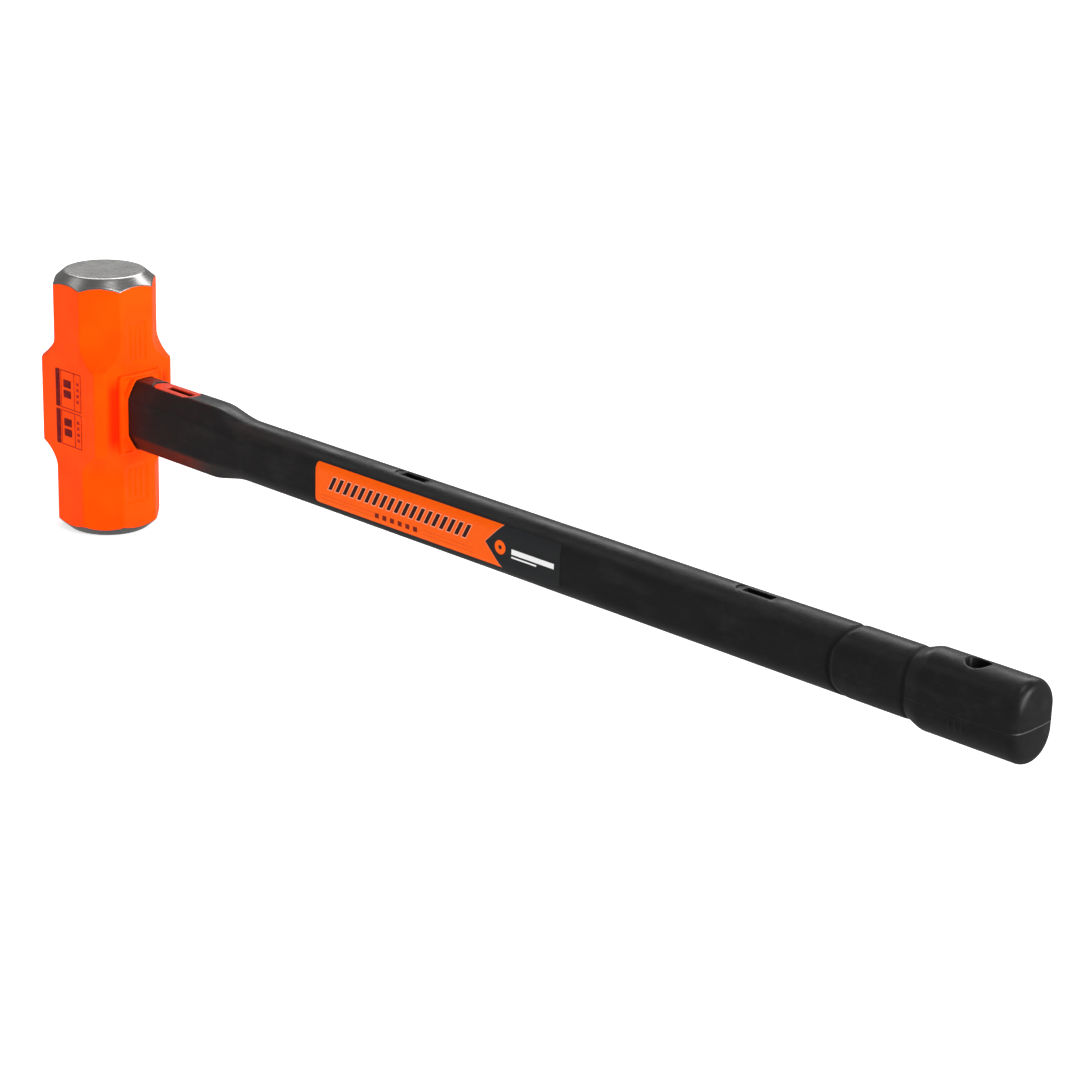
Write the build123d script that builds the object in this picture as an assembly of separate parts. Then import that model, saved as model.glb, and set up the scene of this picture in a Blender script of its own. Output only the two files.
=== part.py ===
from build123d import *
import os
from math import atan2, cos, hypot, pi, sin

# Sledgehammer with an octagonal head and a rubber handle moulded over steel rods.
# Millimetres. The origin is the centre of the lower striking face. +Z is the striking
# axis, towards the upper face, and +X runs along the handle, towards the pommel.

# Head forging
HEAD_LENGTH = 173.0        # from one striking face to the other
HEAD_FLATS = 63.5          # across the flats of the octagonal barrels
FACE_RADIUS = 25.9         # of the flat striking face
FACE_CHAMFER = 7.3         # height of the ground cone at the barrel's corners
FACE_ROUND = 2.5           # between the flat face and the cone
BARREL_ROUND = 1.5         # on the barrel's long edges
BLOCK_CORNER = 4.9         # leg of the chamfer on the square block's corners
COVE_RADIUS = 21.0         # of the scoops between the block and the barrels
COVE_END = 46.0            # from mid height to where a scoop runs out on the barrel
COVE_DIP = 0.3             # the scoop's lowest line lies this far inside the barrel's face

# Eye and its boss, on the handle's side of the head
EYE_WIDTH = 22.0
EYE_HEIGHT = 36.0
EYE_ROUND = 9.0
BOSS_WIDTH = 34.4
BOSS_HEIGHT = 52.6
BOSS_PROUD = 4.3
BOSS_ROUND = 1.5
BOSS_RIM = 1.4
PANEL_DEPTH = 1.0          # of the panel inside the boss's rim
LIP_THICKNESS = 1.2        # of the raised lip around the neck
LIP_HEIGHT = 4.0

# Blank stamping fields on the barrels, on the handle's side
STAMP_DEPTH = 0.6
STAMP_BAR = 1.2            # width of the three bars left standing in a field
STAMP_MARGIN = 3.6         # between a bar's end and the field's edge
UPPER_STAMP = (15.0, 27.0, 45.5, 0.0)    # width, height, then Z and Y from the handle's axis
LOWER_STAMP = (18.0, 26.0, -49.0, -2.0)

# Locking plate, behind the head
PLATE_WIDTH = 32.0
PLATE_HEIGHT = 50.0
PLATE_THICKNESS = 3.5
PLATE_ROUND = 6.0
PLATE_CHAMFER = 0.8

# Steel core
ROD_RADIUS = 3.0
ROD_HEAD_RADIUS = 4.6
ROD_HEAD_HEIGHT = 0.75
ROD_HEAD_CHAMFER = 0.4
ROD_FIT = 0.05             # radial clearance around a rod
ROD_PITCH_Y = 11.0
ROD_PITCH_Z = 10.0
ROD_END = 660.0
SPACER_WIDTH = 19.0
SPACER_HEIGHT = 29.0
SPACER_LENGTH = 26.0
END_PLATE_THICKNESS = 3.0

# Rubber handle: stations along X, with the tapers' and the pommel's places
HANDLE_DROP = 1.5          # the handle's axis lies this far below the head's middle
OVERALL_LENGTH = 765.0     # from the rods' peened heads to the pommel's end
NECK_END = 115.0
TAPER_END = 144.0
TAPER_STEPS = (0.15, 0.5, 0.85)
SHAFT_END = 609.0
GRIP_START = 614.0
GRIP_END = 658.0
POMMEL_START = 667.0
POMMEL_ROUND = 6.0
HOLE_X = 691.5
HOLE_RADIUS = 6.5

# Rubber handle: half sections. A squared oval is half width, half height, half side flat and corner radius
NECK_HALF_WIDTH = 13.6
NECK_HALF_HEIGHT = 23.2
NECK_CUT_Y = 7.0
NECK_CUT_Z = 11.5
FACET_CROWN = 0.35         # bulge of a moulded facet
SHAFT_START = (13.0, 19.5, 8.0, 8.0)
SHAFT_FINISH = (13.6, 20.0, 8.4, 8.4)
GRIP = (15.2, 20.0, 5.0, 10.5)
POMMEL = (17.0, 22.9, 7.0, 9.75)

# Mould-pin slots on the handle's upper side: X, rim length, rim width, rim depth
SLOTS = ((71.5, 39.0, 13.4, 0.8), (288.0, 30.0, 9.0, 1.2), (550.0, 30.0, 9.0, 1.2))
SLOT_WINDOW = (20.0, 5.6)
PAD_WINDOW = (24.0, 5.0)   # in the first spacer's pad, which fills the first slot
PAD_WINDOW_SHIFT = 3.5
PAD_WINDOW_DEPTH = 4.0

# Label on the handle and marking on the cheek, both on the -Y side
LABEL_X = (216.0, 418.0)
LABEL_HALF_HEIGHT = 12.5
LABEL_THICKNESS = 0.3
MARK_X = (-12.4, 13.4)
MARK_Z = ((-1.5, 24.0), (-26.5, -3.0))   # two fields, from mid height
MARK_THICKNESS = 0.2

CLEAR = 1.0                # how far a cutter runs past what it cuts

MID = HEAD_LENGTH / 2
AXIS = MID - HANDLE_DROP
HALF_FLATS = HEAD_FLATS / 2
CORNER_RADIUS = HALF_FLATS / cos(pi / 8)
BOSS_FRONT = HALF_FLATS + BOSS_PROUD
PANEL = BOSS_FRONT - PANEL_DEPTH
PLATE_BACK = -HALF_FLATS - PLATE_THICKNESS
BACK = PLATE_BACK - ROD_HEAD_HEIGHT
BUTT = BACK + OVERALL_LENGTH


def across(x):
    """Plane square to the handle at x: its x is +Y and its y is +Z, from the handle's axis."""
    return Plane(origin=(x, 0, AXIS), x_dir=(0, 1, 0), z_dir=(1, 0, 0))


def striking_limit():
    """Turned envelope that cuts the ground cones and rounds the striking faces' rims."""
    slope = (CORNER_RADIUS - FACE_RADIUS) / FACE_CHAMFER
    reach = HALF_FLATS * 1.5
    height = (reach - FACE_RADIUS) / slope
    outline = Polyline(
        (0, 0),
        (FACE_RADIUS, 0),
        (reach, height),
        (reach, HEAD_LENGTH - height),
        (FACE_RADIUS, HEAD_LENGTH),
        (0, HEAD_LENGTH),
        close=True,
    )
    profile = make_face(outline)
    rims = [v for v in profile.vertices() if abs(v.X - FACE_RADIUS) < 0.01]
    return revolve(Plane.XZ * fillet(rims, FACE_ROUND), Axis.Z)


def barrels():
    """Octagonal bar, flats towards X and Y."""
    bar = extrude(RegularPolygon(CORNER_RADIUS, 8, rotation=22.5), HEAD_LENGTH)
    return fillet(bar.edges().filter_by(Axis.Z), BARREL_ROUND)


def cheek_block():
    """Square block flush with the four flats, its corners scooped down to the barrels."""
    square = chamfer(Rectangle(HEAD_FLATS, HEAD_FLATS).vertices(), BLOCK_CORNER)
    block = extrude(Plane.XY.offset(MID - COVE_END) * square, 2 * COVE_END)
    block = fillet(block.edges().filter_by(Axis.Z), BARREL_ROUND)
    reach = HALF_FLATS + COVE_RADIUS - COVE_DIP
    for corner in range(4):
        turn = Rot(0, 0, 45 + 90 * corner)
        for end in (MID - COVE_END, MID + COVE_END):
            block -= turn * Pos(reach, 0, end) * Rot(90, 0, 0) * Cylinder(COVE_RADIUS, HEAD_FLATS)
    return block


def neck_outline(grow=0.0):
    """Quarter points of the neck's chamfered section, grown outwards by grow."""
    width = NECK_HALF_WIDTH + grow
    height = NECK_HALF_HEIGHT + grow
    side = (width, height - NECK_CUT_Z)
    crown = (width - NECK_CUT_Y, height)
    middle = ((side[0] + crown[0]) / 2, (side[1] + crown[1]) / 2)
    run = hypot(NECK_CUT_Y, NECK_CUT_Z)
    bulge = (FACET_CROWN * NECK_CUT_Z / run, FACET_CROWN * NECK_CUT_Y / run)
    return side, (middle[0] + bulge[0], middle[1] + bulge[1]), crown, height + FACET_CROWN


def oval_outline(half_width, half_height, side, corner):
    """Quarter points of a squared oval: a side flat, a corner arc and a crown tangent to it."""
    centre_y = half_width - corner
    depth = half_height - corner
    crown_z = (depth**2 - centre_y**2 - side**2) / (2 * (depth - side))
    crown_radius = half_height - crown_z
    tilt = atan2(centre_y, side - crown_z)
    meet = (crown_radius * sin(tilt), crown_z + crown_radius * cos(tilt))
    half = (pi / 2 + tilt) / 2
    middle = (centre_y + corner * sin(half), side + corner * cos(half))
    return (half_width, side), middle, meet, half_height


def section(x, outline):
    """Face at x with the quarter outline mirrored in Y and Z, as eight arcs."""
    side, middle, crown, top = outline
    edges = []
    for turn in (1, -1):
        edges.append(Line((turn * side[0], -turn * side[1]), (turn * side[0], turn * side[1])))
        edges.append(arc((side, middle, crown), turn, turn))
        edges.append(arc((crown, (0, top), (-crown[0], crown[1])), turn, turn))
        edges.append(arc((crown, middle, side), -turn, turn))
    return across(x) * make_face(edges)


def arc(points, y, z):
    """Arc through three points, mirrored by the signs y and z."""
    return ThreePointArc(*[(y * point[0], z * point[1]) for point in points])


def mix(first, last, share):
    """Value part of the way from first to last."""
    return first + (last - first) * share


def between(first, last, share):
    """Outline part of the way from one outline to another."""
    points = [(mix(a[0], b[0], share), mix(a[1], b[1], share)) for a, b in zip(first[:3], last[:3])]
    return (*points, mix(first[3], last[3], share))


def stamp_field(width, height, offset_z, offset_y):
    """Cutter for one blank stamping field: a shallow pocket around three plain bars."""
    face = Rectangle(width, height)
    for step in (-1, 0, 1):
        face -= Pos(step * width / 4, 0) * Rectangle(STAMP_BAR, height - 2 * STAMP_MARGIN)
    return extrude(across(HALF_FLATS) * Pos(offset_y, offset_z) * face, -STAMP_DEPTH)


def hammer_head():
    """Forging with the boss, the eye right through, the neck's lip and two stamping fields."""
    head = (barrels() + cheek_block()) & striking_limit()
    boss = extrude(across(HALF_FLATS - CLEAR) * Rectangle(BOSS_WIDTH, BOSS_HEIGHT), BOSS_PROUD + CLEAR)
    head += fillet(boss.edges().filter_by(Axis.X), BOSS_ROUND)
    inner = Rectangle(BOSS_WIDTH - 2 * BOSS_RIM, BOSS_HEIGHT - 2 * BOSS_RIM)
    head -= extrude(across(PANEL) * inner, PANEL_DEPTH)
    lip = extrude(section(PANEL, neck_outline(LIP_THICKNESS)), LIP_HEIGHT, dir=(1, 0, 0))
    head += lip - extrude(section(PANEL, neck_outline()), LIP_HEIGHT, dir=(1, 0, 0))
    head -= extrude(across(-HALF_FLATS - CLEAR) * eye(), 2 * HEAD_FLATS)
    for field in (UPPER_STAMP, LOWER_STAMP):
        head -= stamp_field(*field)
    return head


def eye():
    """Section of the eye, which the handle's tang fills."""
    return RectangleRounded(EYE_WIDTH, EYE_HEIGHT, EYE_ROUND)


def rod_places():
    """(y, z) of the six rods, from the handle's axis: two columns of three."""
    return [(y * ROD_PITCH_Y / 2, z * ROD_PITCH_Z) for y in (-1, 1) for z in (1, 0, -1)]


def core_rod(y, z):
    """Spring-steel rod, its end peened over behind the locking plate."""
    shank = extrude(across(PLATE_BACK) * Pos(y, z) * Circle(ROD_RADIUS), ROD_END - PLATE_BACK)
    peened = extrude(across(BACK) * Pos(y, z) * Circle(ROD_HEAD_RADIUS), ROD_HEAD_HEIGHT)
    rim = peened.edges().sort_by(Axis.X)[0]
    return shank + chamfer(rim, ROD_HEAD_CHAMFER)


def rod_holes(start, length):
    """Cutter for the six rods' holes."""
    holes = [Pos(y, z) * Circle(ROD_RADIUS + ROD_FIT) for y, z in rod_places()]
    return extrude(across(start) * Sketch(holes), length)


def locking_plate():
    """Rounded plate over the eye's back, which the rods pass through."""
    blank = RectangleRounded(PLATE_WIDTH, PLATE_HEIGHT, PLATE_ROUND)
    plate = extrude(across(PLATE_BACK) * blank, PLATE_THICKNESS)
    plate = chamfer(plate.faces().sort_by(Axis.X)[0].edges(), PLATE_CHAMFER)
    return plate - rod_holes(PLATE_BACK - CLEAR, PLATE_THICKNESS + 2 * CLEAR)


def spacer_blank(start, length):
    """Block that holds the rods at their pitch, before its holes."""
    return extrude(across(start) * Rectangle(SPACER_WIDTH, SPACER_HEIGHT), length)


def core_spacer(x):
    """Spacer under a mould-pin slot."""
    start = x - SPACER_LENGTH / 2
    return spacer_blank(start, SPACER_LENGTH) - rod_holes(start - CLEAR, SPACER_LENGTH + 2 * CLEAR)


def pad_opening(height):
    """Oval on top of the first spacer, up to a height above the handle's axis."""
    x, length, width = SLOTS[0][:3]
    base = Plane(origin=(x, 0, AXIS + SPACER_HEIGHT / 2))
    return extrude(base * SlotOverall(length, width), height - SPACER_HEIGHT / 2)


def padded_spacer():
    """First spacer, with the oval pad that shows in the rubber's first slot."""
    x, step = SLOTS[0][0], SLOTS[0][3]
    top = upper_side(x) - step
    face = Plane(origin=(x + PAD_WINDOW_SHIFT, 0, AXIS + top))
    window = extrude(face * Rectangle(*PAD_WINDOW), -PAD_WINDOW_DEPTH)
    return core_spacer(x) + (pad_opening(top) - window)


def rod_end_plate():
    """Thin plate that the rods end in, inside the rubber."""
    start = ROD_END - END_PLATE_THICKNESS
    holes = rod_holes(start - CLEAR, END_PLATE_THICKNESS + 2 * CLEAR)
    return spacer_blank(start, END_PLATE_THICKNESS) - holes


def shaft_outline(x):
    """Squared oval of the shaft at x, growing slightly towards the grip."""
    share = (x - TAPER_END) / (SHAFT_END - TAPER_END)
    return between(oval_outline(*SHAFT_START), oval_outline(*SHAFT_FINISH), share)


def handle_skin():
    """Solid outer form of the rubber, from the boss's panel to the pommel's end."""
    neck = neck_outline()
    shaft = shaft_outline(TAPER_END)
    grip = oval_outline(*GRIP)
    stations = [(PANEL, neck), (NECK_END, neck)]
    for share in TAPER_STEPS:
        # An S-shaped taper: the ends of the slope are eased
        eased = share * share * (3 - 2 * share)
        stations.append((NECK_END + share * (TAPER_END - NECK_END), between(neck, shaft, eased)))
    stations += [(TAPER_END, shaft), (SHAFT_END, shaft_outline(SHAFT_END))]
    stations += [(GRIP_START, grip), (GRIP_END, grip), (POMMEL_START, oval_outline(*POMMEL))]
    skin = loft([section(x, outline) for x, outline in stations], ruled=True)
    pommel = extrude(section(POMMEL_START, oval_outline(*POMMEL)), BUTT - POMMEL_START, dir=(1, 0, 0))
    return skin + fillet(pommel.faces().sort_by(Axis.X)[-1].edges(), POMMEL_ROUND)


def upper_side(x):
    """Height of the rubber's upper side above the handle's axis, at x."""
    return neck_outline()[3] if x < NECK_END else shaft_outline(x)[3]


def slot_cutter(x, rim_length, rim_width, rim_depth):
    """Mould-pin slot: an oval recess around a window that reaches the spacer."""
    top = upper_side(x) + CLEAR
    above = Plane(origin=(x, 0, AXIS + top))
    rim = extrude(above * SlotOverall(rim_length, rim_width), -(CLEAR + rim_depth))
    window = extrude(above * Rectangle(*SLOT_WINDOW), SPACER_HEIGHT / 2 - top)
    return rim + window


def rubber_handle():
    """One moulding: the tang in the eye, the neck, the shaft, the grip and the pommel."""
    rubber = handle_skin() + extrude(across(-HALF_FLATS) * eye(), HALF_FLATS + PANEL)
    rubber -= pad_opening(upper_side(SLOTS[0][0]) + CLEAR)
    for slot in SLOTS[1:]:
        rubber -= slot_cutter(*slot)
    for slot in SLOTS:
        rubber -= spacer_blank(slot[0] - SPACER_LENGTH / 2, SPACER_LENGTH)
    rubber -= spacer_blank(ROD_END - END_PLATE_THICKNESS, END_PLATE_THICKNESS)
    rubber -= rod_holes(-HALF_FLATS - CLEAR, ROD_END + HALF_FLATS + CLEAR)
    return rubber - Pos(HOLE_X, 0, AXIS) * Cylinder(HOLE_RADIUS, 3 * POMMEL[1])


def label_skin(grow):
    """The shaft's form, grown outwards by grow."""
    ends = []
    for x, (width, height, side, corner) in ((TAPER_END, SHAFT_START), (SHAFT_END, SHAFT_FINISH)):
        ends.append(section(x, oval_outline(width + grow, height + grow, side, corner + grow)))
    return loft(ends, ruled=True)


def handle_label():
    """Thin label on the -Y side of the shaft."""
    start, end = LABEL_X
    on_side = (Align.MIN, Align.MAX, Align.CENTER)
    window = Pos(start, 0, AXIS) * Box(end - start, HEAD_FLATS, 2 * LABEL_HALF_HEIGHT, align=on_side)
    return (label_skin(LABEL_THICKNESS) - label_skin(0)) & window


def cheek_marking():
    """Two thin printed fields on the head's -Y cheek."""
    start, end = MARK_X
    on_cheek = (Align.MIN, Align.MAX, Align.MIN)
    fields = []
    for low, high in MARK_Z:
        field = Box(end - start, MARK_THICKNESS, high - low, align=on_cheek)
        fields.append(Pos(start, -HALF_FLATS, MID + low) * field)
    return Compound(fields)


def save(name, shape):
    """Write one node's STEP file."""
    export_step(shape, f"parts/{name}.step")


os.makedirs("parts", exist_ok=True)
save("hammer_head", hammer_head())
save("locking_plate", locking_plate())
save("rubber_handle", rubber_handle())
for number, place in enumerate(rod_places(), start=1):
    save(f"core_rod_{number}", core_rod(*place))
save("core_spacer_1", padded_spacer())
for number, slot in enumerate(SLOTS[1:], start=2):
    save(f"core_spacer_{number}", core_spacer(slot[0]))
save("rod_end_plate", rod_end_plate())
save("handle_label", handle_label())
save("cheek_marking", cheek_marking())
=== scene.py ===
import math

import bmesh
import bpy
import numpy as np
from mathutils import Matrix, Vector, noise


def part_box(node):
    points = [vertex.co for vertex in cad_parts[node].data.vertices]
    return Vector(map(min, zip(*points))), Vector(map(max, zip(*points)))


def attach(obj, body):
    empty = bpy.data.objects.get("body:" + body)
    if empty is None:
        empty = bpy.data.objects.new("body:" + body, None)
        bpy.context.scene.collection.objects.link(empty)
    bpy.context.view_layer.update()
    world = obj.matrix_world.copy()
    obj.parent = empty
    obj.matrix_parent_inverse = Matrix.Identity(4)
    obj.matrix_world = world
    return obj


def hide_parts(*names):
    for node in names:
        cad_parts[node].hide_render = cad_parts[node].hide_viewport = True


# Sledgehammer. Metres, in the row frame: +Z is the striking axis, +X runs along the handle,
# and the origin is the centre of the lower striking face.

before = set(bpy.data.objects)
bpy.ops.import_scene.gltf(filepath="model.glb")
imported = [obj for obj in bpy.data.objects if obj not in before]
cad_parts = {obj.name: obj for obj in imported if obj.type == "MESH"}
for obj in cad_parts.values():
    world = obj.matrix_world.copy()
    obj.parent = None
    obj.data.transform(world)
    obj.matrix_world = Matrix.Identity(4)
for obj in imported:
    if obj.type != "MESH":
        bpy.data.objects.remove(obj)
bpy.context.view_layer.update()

MM = 0.001

# Remeshed pieces: the head's voxels keep it under 200,000 triangles
HEAD_VOXEL = 0.81 * MM
PLATE_VOXEL = 0.42 * MM
PAD_VOXEL = 0.40 * MM
EASE_ROUNDS = 3

# Places from the frame
HEAD_LOW, HEAD_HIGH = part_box("hammer_head")
RUBBER_LOW, RUBBER_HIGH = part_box("rubber_handle")
PLATE_LOW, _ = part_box("locking_plate")
LABEL_LOW, LABEL_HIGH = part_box("handle_label")
MARK_LOW, MARK_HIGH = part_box("cheek_marking")
_, PAD_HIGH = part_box("core_spacer_1")
HEAD_LENGTH = HEAD_HIGH.z
HALF_FLATS = -HEAD_LOW.x
AXIS = (RUBBER_LOW.z + RUBBER_HIGH.z) / 2
BUTT = RUBBER_HIGH.x
NECK_START = HALF_FLATS + 3.3 * MM     # the neck's foot, inside the boss's panel

# Head: the ground cones, and the boss around the eye
FACE_RADIUS = 25.9 * MM
CONE_HEIGHT = 7.3 * MM
CORNER_RADIUS = HALF_FLATS / math.cos(math.pi / 8)
CONE_SLOPE = (CORNER_RADIUS - FACE_RADIUS) / CONE_HEIGHT
BOSS_HALF_WIDTH = 17.2 * MM
BOSS_HALF_HEIGHT = 26.3 * MM

# Handle: half sections, as in the frame
NECK = (13.6 * MM, 23.2 * MM)
NECK_CUT = (7.0 * MM, 11.5 * MM)
FACET_CROWN = 0.35 * MM
# Ovals: half width, half height, half side flat, corner radius
SHAFT_START = (13.0 * MM, 19.5 * MM, 8.0 * MM, 8.0 * MM)
SHAFT_FINISH = (13.6 * MM, 20.0 * MM, 8.4 * MM, 8.4 * MM)
GRIP = (15.2 * MM, 20.0 * MM, 5.0 * MM, 10.5 * MM)
POMMEL = (17.0 * MM, 22.9 * MM, 7.0 * MM, 9.75 * MM)
POMMEL_ROUND = 6.0 * MM
END_DOME = 0.5 * MM
END_INSET = 0.25 * MM         # keeps the uneven end inside the frame's length
NECK_END = 115 * MM
TAPER_END = 144 * MM
SHAFT_END = 609 * MM
GRIP_START = 614 * MM
CREASE_BOW = 9 * MM           # how much further out the crease meets the upper and lower sides
CREASE_SET = 0.15             # share of the bow by which the crease starts nearer to the head
CREASE_DEPTH = 0.55 * MM
CREASE_WIDTH = 1.5 * MM
FOOT_DEPTH = 0.44 * MM        # groove at the pommel's foot
FOOT_WIDTH = 1.8 * MM
GRIP_END = 657 * MM
POMMEL_START = 668 * MM
SEAM_DROP = 2.0 * MM          # the mould's parting line lies this far below the axis
SEAM_HEIGHT = 0.22 * MM
SEAM_HALF_WIDTH = 0.4 * MM
SEAM_FAINT = 0.35             # share of the seam's height on the shaft
SEAM_CLEAR = (600 * MM, 60 * MM)   # where the seam starts to rise, and over what length

# Plain moulded bars on the pommel's -Y side
BAR_PLACES = (688 * MM, 692 * MM, 696 * MM)
BAR_DROP = 7 * MM
BAR_HALF_LENGTH = 3.4 * MM
BAR_HALF_WIDTH = 0.9 * MM
BAR_HEIGHT = 0.40 * MM

# Slots on the upper side: X, length, width, depth; the first one holds the orange pad
SLOTS = ((71.5 * MM, 39 * MM, 13.4 * MM, 8.9 * MM),
         (288 * MM, 30 * MM, 9 * MM, 1.2 * MM),
         (550 * MM, 30 * MM, 9 * MM, 1.2 * MM))
SLOT_LIP = 0.8 * MM
SLOT_WINDOW = (20 * MM, 5.6 * MM, 6.0 * MM)   # length, width, depth from the crown
WINDOW_CORNER = 0.8 * MM
HOLE_X = 691.5 * MM
HOLE_RADIUS = 6.5 * MM
HOLE_MOUTH = 1.6 * MM
OFF_SIDE = 8 * MM             # farther than this above or below the axis is the upper or lower side


# ---- mesh helpers

def add_object(name, mesh):
    """New object with a mesh, linked to the scene."""
    piece = bpy.data.objects.new(name, mesh)
    bpy.context.scene.collection.objects.link(piece)
    return piece


def shade_smooth(mesh, angle=None):
    """Smooth shading, with edges sharper than angle kept sharp."""
    mesh.shade_smooth()
    if angle is not None:
        mesh.set_sharp_from_angle(angle=math.radians(angle))


def applied(piece):
    """Puts the result of the piece's modifiers in its mesh, and removes them."""
    bpy.context.view_layer.update()
    graph = bpy.context.evaluated_depsgraph_get()
    mesh = bpy.data.meshes.new_from_object(piece.evaluated_get(graph))
    piece.modifiers.clear()
    piece.data = mesh


def welded_copy(node, name):
    """Welded copy of a CAD node's mesh, without its UV layers and materials."""
    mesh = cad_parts[node].data.copy()
    mesh.name = name
    work = bmesh.new()
    work.from_mesh(mesh)
    bmesh.ops.remove_doubles(work, verts=work.verts, dist=0.002 * MM)
    bmesh.ops.recalc_face_normals(work, faces=work.faces)
    work.to_mesh(mesh)
    work.free()
    for layer in [layer.name for layer in mesh.uv_layers]:
        mesh.uv_layers.remove(mesh.uv_layers[layer])
    mesh.materials.clear()
    return mesh


def refined(node, name, voxel):
    """Even, fine mesh of a CAD node, laid back on its surface, with its edges eased."""
    target = add_object(name + "_target", welded_copy(node, name + "_target"))
    piece = add_object(name, target.data.copy())
    piece.modifiers.new("even", "REMESH").mode = "VOXEL"
    piece.modifiers["even"].voxel_size = voxel
    lay = piece.modifiers.new("lay", "SHRINKWRAP")
    lay.wrap_method = "NEAREST_SURFACEPOINT"
    lay.target = target
    ease = piece.modifiers.new("ease", "SMOOTH")
    ease.factor = 0.5
    ease.iterations = EASE_ROUNDS
    applied(piece)
    bpy.data.objects.remove(target)
    shade_smooth(piece.data)
    return piece


def coordinates(mesh):
    """The mesh's vertices as an array."""
    points = np.zeros(len(mesh.vertices) * 3)
    mesh.vertices.foreach_get("co", points)
    return points.reshape(-1, 3)


def normals(mesh):
    """The mesh's vertex normals as an array."""
    out = np.zeros(len(mesh.vertices) * 3)
    mesh.vertex_normals.foreach_get("vector", out)
    return out.reshape(-1, 3)


def move_to(mesh, points):
    """Moves the mesh's vertices to new places."""
    mesh.vertices.foreach_set("co", np.asarray(points, float).ravel())
    mesh.update()


def fractal(points, size, octaves, offset):
    """Smooth noise of about -1 to 1 at each point, with features of a size."""
    shift = Vector(offset)
    values = [noise.fractal(Vector(p) / size + shift, 0.8, 2.0, octaves) for p in points]
    return np.array(values)


def smoothstep(value):
    """0 to 1, eased at both ends."""
    clipped = np.clip(value, 0, 1)
    return clipped * clipped * (3 - 2 * clipped)


def outside(values, low, high):
    """How far values lie outside a range, 0 inside it."""
    return np.maximum(np.abs(values - (low + high) / 2) - (high - low) / 2, 0)


# ---- materials

class Nodes:
    """Short forms for a material's node tree."""

    def __init__(self, name):
        self.material = bpy.data.materials.new(name)
        self.material.use_nodes = True
        self.tree = self.material.node_tree
        self.shader = self.tree.nodes["Principled BSDF"]
        self.place = self.tree.nodes.new("ShaderNodeTexCoord").outputs["Object"]

    def link(self, source, socket):
        """Sets a socket from a value or from another node's output."""
        if isinstance(source, bpy.types.NodeSocket):
            self.tree.links.new(source, socket)
        else:
            socket.default_value = source

    def math(self, operation, *values):
        """One math node."""
        node = self.tree.nodes.new("ShaderNodeMath")
        node.operation = operation
        for socket, value in zip(node.inputs, values):
            self.link(value, socket)
        return node.outputs[0]

    def axes(self):
        """X, Y and Z of the place."""
        node = self.tree.nodes.new("ShaderNodeSeparateXYZ")
        self.link(self.place, node.inputs[0])
        return node.outputs

    def times(self, *values):
        """Product of two or more values."""
        product = values[0]
        for value in values[1:]:
            product = self.math("MULTIPLY", product, value)
        return product

    def distance(self, value, centre):
        """How far a value is from a centre, without its sign."""
        return self.math("ABSOLUTE", self.math("SUBTRACT", value, centre))

    def scaled(self, factors):
        """The place, multiplied axis by axis."""
        node = self.tree.nodes.new("ShaderNodeVectorMath")
        node.operation = "MULTIPLY"
        self.link(self.place, node.inputs[0])
        node.inputs[1].default_value = factors
        return node.outputs[0]

    def noise(self, scale, detail=3.0, roughness=0.55, vector=None):
        """Noise of about 0 to 1, at a scale in features per metre."""
        node = self.tree.nodes.new("ShaderNodeTexNoise")
        self.link(vector or self.place, node.inputs["Vector"])
        node.inputs["Scale"].default_value = scale
        node.inputs["Detail"].default_value = detail
        node.inputs["Roughness"].default_value = roughness
        return node.outputs["Fac"]

    def remap(self, value, low, high, to_low=0.0, to_high=1.0, smooth=True):
        """Value from one range to another, clamped."""
        node = self.tree.nodes.new("ShaderNodeMapRange")
        node.interpolation_type = "SMOOTHSTEP" if smooth else "LINEAR"
        for name, number in (("From Min", low), ("From Max", high), ("To Min", to_low), ("To Max", to_high)):
            self.link(number, node.inputs[name])
        self.link(value, node.inputs["Value"])
        return node.outputs[0]

    def blend(self, share, first, second):
        """Colour part of the way from first to second."""
        node = self.tree.nodes.new("ShaderNodeMix")
        node.data_type = "RGBA"
        self.link(share, node.inputs[0])
        self.link(first, node.inputs[6])
        self.link(second, node.inputs[7])
        return node.outputs[2]

    def mix(self, share, first, second):
        """Number part of the way from first to second."""
        node = self.tree.nodes.new("ShaderNodeMix")
        self.link(share, node.inputs[0])
        self.link(first, node.inputs[2])
        self.link(second, node.inputs[3])
        return node.outputs[0]

    def bump(self, height, distance, normal=None):
        """Bump of a height, whose full range is a distance in metres."""
        node = self.tree.nodes.new("ShaderNodeBump")
        node.inputs["Strength"].default_value = 1.0
        node.inputs["Distance"].default_value = distance
        self.link(height, node.inputs["Height"])
        if normal is not None:
            self.link(normal, node.inputs["Normal"])
        return node.outputs[0]

    def finish(self, colour, roughness, normal=None, metallic=None):
        """Links the main inputs and returns the material."""
        self.link(colour, self.shader.inputs["Base Color"])
        self.link(roughness, self.shader.inputs["Roughness"])
        if normal is not None:
            self.link(normal, self.shader.inputs["Normal"])
        if metallic is not None:
            self.link(metallic, self.shader.inputs["Metallic"])
        return self.material


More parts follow.
